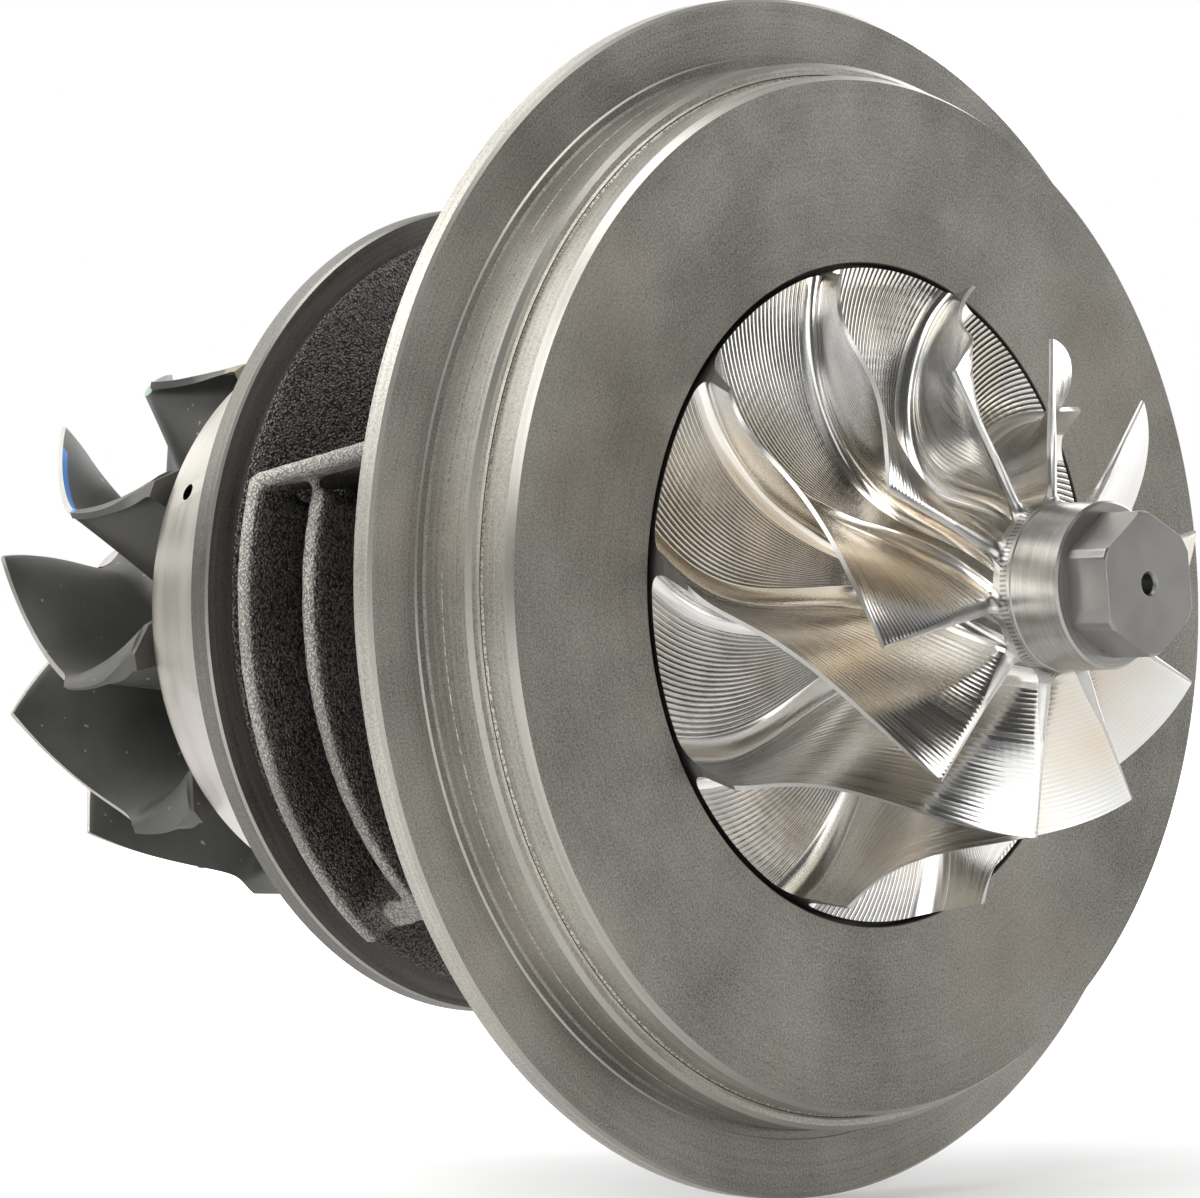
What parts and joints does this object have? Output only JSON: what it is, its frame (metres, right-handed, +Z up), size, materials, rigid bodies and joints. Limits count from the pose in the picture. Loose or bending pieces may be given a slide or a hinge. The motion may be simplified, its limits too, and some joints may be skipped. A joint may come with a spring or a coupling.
{
  "type": "turbo cartridge",
  "caption": "Turbocharger cartridge: cast bearing housing with a large cover flange, ribbed waist, V-band flange, heat shield, and a rotor with milled compressor wheel and turbine wheel.",
  "frame": {"origin": "on the shaft axis, in the front face of the large flange", "axes": "+X along the shaft towards the compressor wheel, +Z up through the oil feed, +Y to the left seen from the compressor side"},
  "size_m": [0.218, 0.182, 0.182],
  "materials": {
    "cast_housing": "rough cast, machined faces satin",
    "drawn_steel": "smooth satin",
    "turbine_alloy": "fine cast satin",
    "milled_aluminium": "bright milled",
    "ground_steel": "ground",
    "bearing_bronze": "turned",
    "dark_fastener": "black oxide",
    "pressed_steel": "pressed",
    "turned_iron": "turned",
    "black_rubber": "matt",
    "spring_steel": "satin",
    "ring_iron": "lapped"
  },
  "bodies": {
    "housing": {"bearing_housing": "cast_housing", "heat_shield": "drawn_steel", "thrust_bearing": "bearing_bronze", "thrust_bearing_screws": "dark_fastener", "thrust_bearing_pins": "ground_steel", "oil_deflector": "pressed_steel", "seal_plate": "turned_iron", "seal_plate_o_ring": "black_rubber", "seal_plate_snap_ring": "spring_steel", "bush_retaining_ring_1": "spring_steel", "bush_retaining_ring_2": "spring_steel", "bush_retaining_ring_3": "spring_steel", "bush_retaining_ring_4": "spring_steel", "turbine_seal_ring_outer": "ring_iron", "turbine_seal_ring_inner": "ring_iron", "compressor_seal_ring_inner": "ring_iron", "compressor_seal_ring_outer": "ring_iron"},
    "rotor": {"turbine_wheel": "turbine_alloy", "rotor_shaft": "ground_steel", "thrust_collar": "ground_steel", "flinger_sleeve": "ground_steel", "compressor_wheel": "milled_aluminium"},
    "turbine_bush": {"journal_bush_turbine": "bearing_bronze"},
    "compressor_bush": {"journal_bush_compressor": "bearing_bronze"}
  },
  "joints": [
    {"name": "rotor_spin", "type": "hinge", "parent": "housing", "child": "rotor", "pos_m": [0, 0, 0], "axis": [1, 0, 0], "continuous": true},
    {"name": "turbine_bush_spin", "type": "hinge", "parent": "housing", "child": "turbine_bush", "pos_m": [-0.0715, 0, 0], "axis": [1, 0, 0], "continuous": true},
    {"name": "compressor_bush_spin", "type": "hinge", "parent": "housing", "child": "compressor_bush", "pos_m": [-0.032, 0, 0], "axis": [1, 0, 0], "continuous": true}
  ],
  "couplings": [
    {"joint": "turbine_bush_spin", "follows": "rotor_spin", "ratio": 0.25},
    {"joint": "compressor_bush_spin", "follows": "rotor_spin", "ratio": 0.25}
  ]
}
